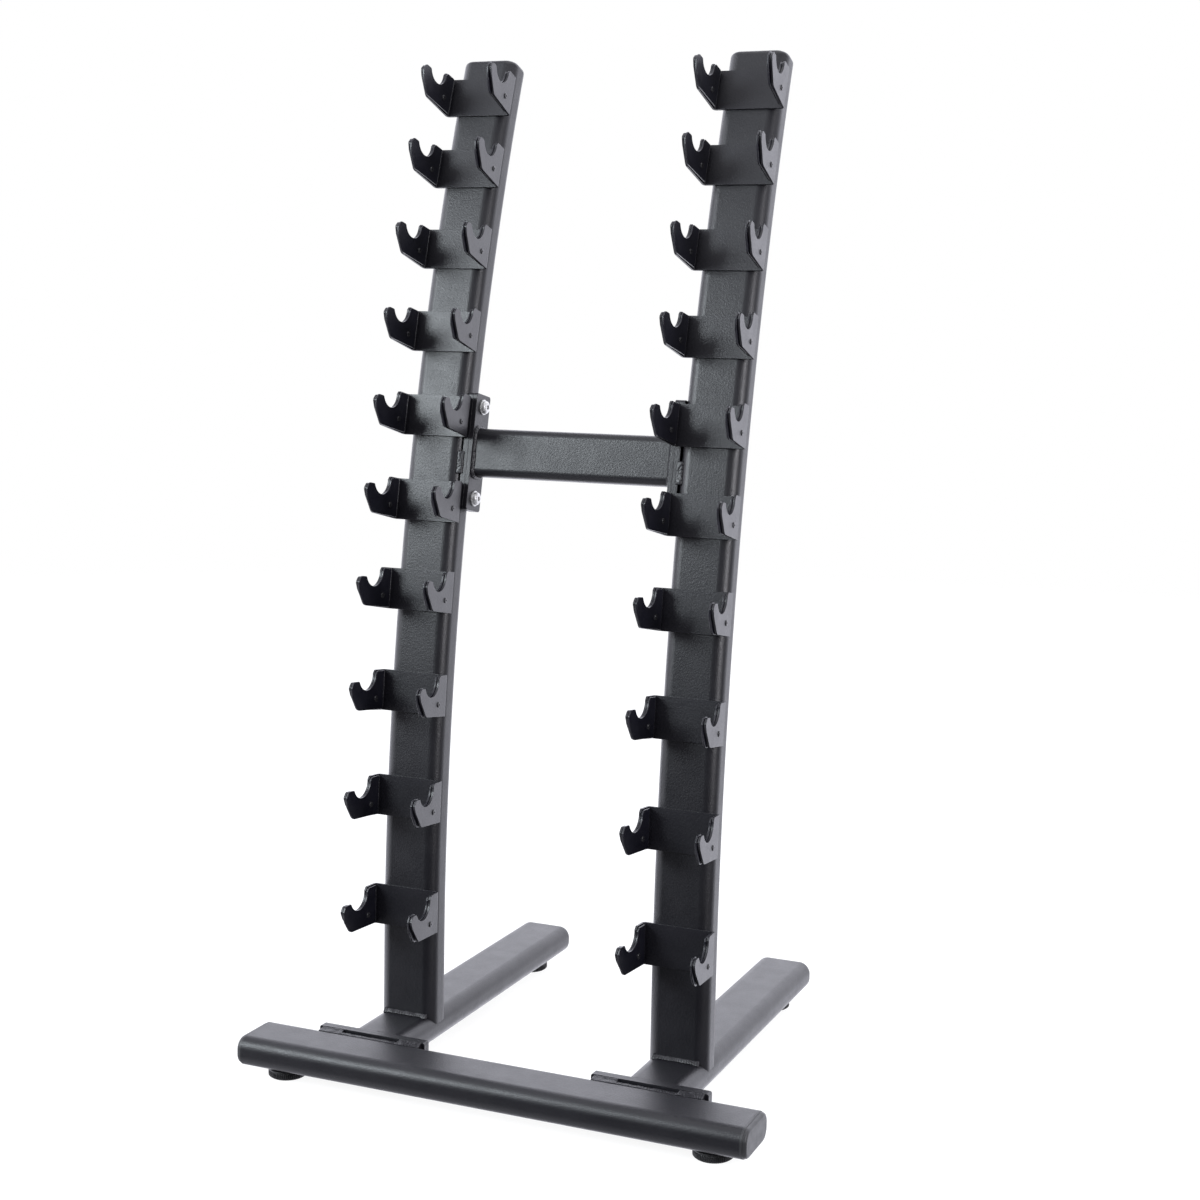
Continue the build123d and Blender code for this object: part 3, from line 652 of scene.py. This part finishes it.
def add_floor():
    """Glowing floor that fades into the white, and that the rack neither mirrors nor is lit by."""
    bm = bmesh.new()
    angles = [2 * math.pi * k / FLOOR_SIDES for k in range(FLOOR_SIDES)]
    loop_faces(bm, [[Vector((radius * math.cos(angle), radius * math.sin(angle), 0)) for angle in angles]
                    for radius in FLOOR_RINGS])
    bm.faces.new(list(bm.verts)[:FLOOR_SIDES])
    bmesh.ops.recalc_face_normals(bm, faces=bm.faces)
    mesh = bpy.data.meshes.new("studio_floor")
    bm.to_mesh(mesh)
    bm.free()
    floor = bpy.data.objects.new("studio_floor", mesh)
    bpy.context.scene.collection.objects.link(floor)
    recipe = Recipe("studio_floor", specular=0.2)
    recipe.colour(recipe.noise(3, 3), ((0.3, (0.16, 0.16, 0.16)), (0.7, (0.18, 0.18, 0.18))))
    recipe.roughness(recipe.noise(5, 2), 0.75, 0.85)
    tree = recipe.tree
    length = tree.nodes.new("ShaderNodeVectorMath")
    length.operation = "LENGTH"
    fade = tree.nodes.new("ShaderNodeMapRange")
    fade.inputs["From Min"].default_value = FADE_START
    fade.inputs["From Max"].default_value = FADE_END
    clear = tree.nodes.new("ShaderNodeBsdfTransparent")
    mix = tree.nodes.new("ShaderNodeMixShader")
    recipe.link(recipe.place, length.inputs[0])
    recipe.shader.inputs["Emission Color"].default_value = (1, 1, 1, 1)
    recipe.shader.inputs["Emission Strength"].default_value = FLOOR_GLOW
    recipe.link(length.outputs["Value"], fade.inputs["Value"])
    recipe.link(fade.outputs["Result"], mix.inputs["Fac"])
    recipe.link(recipe.shader.outputs["BSDF"], mix.inputs[1])
    recipe.link(clear.outputs["BSDF"], mix.inputs[2])
    recipe.link(mix.outputs["Shader"], tree.nodes["Material Output"].inputs["Surface"])
    mesh.materials.append(recipe.material)
    floor.visible_glossy = False
    floor.visible_diffuse = False
    floor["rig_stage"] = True


def add_area_light(name, place, target, size, power, colour=(1, 1, 1)):
    data = bpy.data.lights.new(name, "AREA")
    data.shape = "RECTANGLE"
    data.size, data.size_y = size
    data.energy = power
    data.color = colour
    light = bpy.data.objects.new(name, data)
    light.location = place
    light.rotation_euler = (Vector(target) - Vector(place)).to_track_quat("-Z", "Y").to_euler()
    bpy.context.scene.collection.objects.link(light)


def add_studio():
    """Dim room that glows from behind, above, the left and below; the camera sees it plain white."""
    world = bpy.data.worlds.new("studio")
    bpy.context.scene.world = world
    world.use_nodes = True
    nodes, links = world.node_tree.nodes, world.node_tree.links
    split = nodes.new("ShaderNodeSeparateXYZ")
    links.new(nodes.new("ShaderNodeTexCoord").outputs["Generated"], split.inputs["Vector"])
    total = None
    for axis, *span in ROOM_GLOWS:
        glow = nodes.new("ShaderNodeMapRange")
        glow.interpolation_type = "SMOOTHSTEP"
        for socket, value in zip(("From Min", "From Max", "To Min", "To Max"), span):
            glow.inputs[socket].default_value = value
        links.new(split.outputs[axis], glow.inputs["Value"])
        if total:
            together = nodes.new("ShaderNodeMath")
            together.operation = "ADD"
            links.new(total, together.inputs[0])
            links.new(glow.outputs["Result"], together.inputs[1])
            total = together.outputs["Value"]
        else:
            total = glow.outputs["Result"]
    room = nodes["Background"]
    room.inputs["Color"].default_value = (*ROOM_COLOUR, 1)
    links.new(total, room.inputs["Strength"])
    plain = nodes.new("ShaderNodeBackground")
    plain.inputs["Color"].default_value = (1, 1, 1, 1)
    plain.inputs["Strength"].default_value = 1.0
    path = nodes.new("ShaderNodeLightPath")
    mix = nodes.new("ShaderNodeMixShader")
    links.new(path.outputs["Is Camera Ray"], mix.inputs["Fac"])
    links.new(room.outputs["Background"], mix.inputs[1])
    links.new(plain.outputs["Background"], mix.inputs[2])
    links.new(mix.outputs["Shader"], nodes["World Output"].inputs["Surface"])


def add_camera():
    data = bpy.data.cameras.new("camera")
    data.sensor_width = SENSOR_WIDTH
    data.lens = LENS
    data.shift_x, data.shift_y = LENS_SHIFT
    data.dof.use_dof = False
    data.clip_end = 60
    camera = bpy.data.objects.new("camera", data)
    right = Vector(CAMERA_RIGHT).normalized()
    forward = Vector(CAMERA_FORWARD)
    forward = (forward - right * forward.dot(right)).normalized()
    camera.matrix_world = axes_matrix(CAMERA_PLACE, right, right.cross(forward))
    bpy.context.scene.collection.objects.link(camera)
    bpy.context.scene.camera = camera


add_uprights()
add_rails()
add_crossmember()
add_liners_and_rivets()
add_welds("saddle_welds", "saddle_weld_beads", SADDLE_PITCH)
add_welds("frame_welds", "frame_weld_beads", FRAME_PITCH)
add_feet()

# every other node is shown by its own mesh, with its edges eased
stood_for = {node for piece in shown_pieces() for node in piece.get("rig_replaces", [])}
for node in sorted(set(NODES) - stood_for):
    # saddles take the smoother coat whose lighter colour is a painted sheen
    coat = BRACKET_COAT_PAINTED_SHEEN if node.startswith("saddle_") else None
    edge = BOLT_BEVEL if SLOT_OF[node] == "plated_steel" else PLATE_BEVEL
    make_piece(f"{node}_finished", node_skin(node), [node], bevel=edge, material=coat)

add_floor()
add_studio()
add_area_light("softbox", place=(-2.0, -2.5, 1.95), target=(0, 0, 0.75), size=(1.5, 1.1), power=98,
               colour=(0.885, 0.96, 1.0))
add_area_light("strip", place=(2.75, -1.10, 1.25), target=(0, 0, 0.9), size=(0.8, 1.4), power=62,
               colour=(0.96, 0.95, 1.0))
add_area_light("overhead", place=(0.3, -0.2, 3.4), target=(CAD_BOX[0] + CAD_BOX[1]) / 2,
               size=(2.4, 2.0), power=20)
add_camera()
bpy.context.scene.view_settings.view_transform = "Standard"

corners = {"cad": CAD_BOX, "visual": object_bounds()}
{name: [list(corner) for corner in box] for name, box in corners.items()}
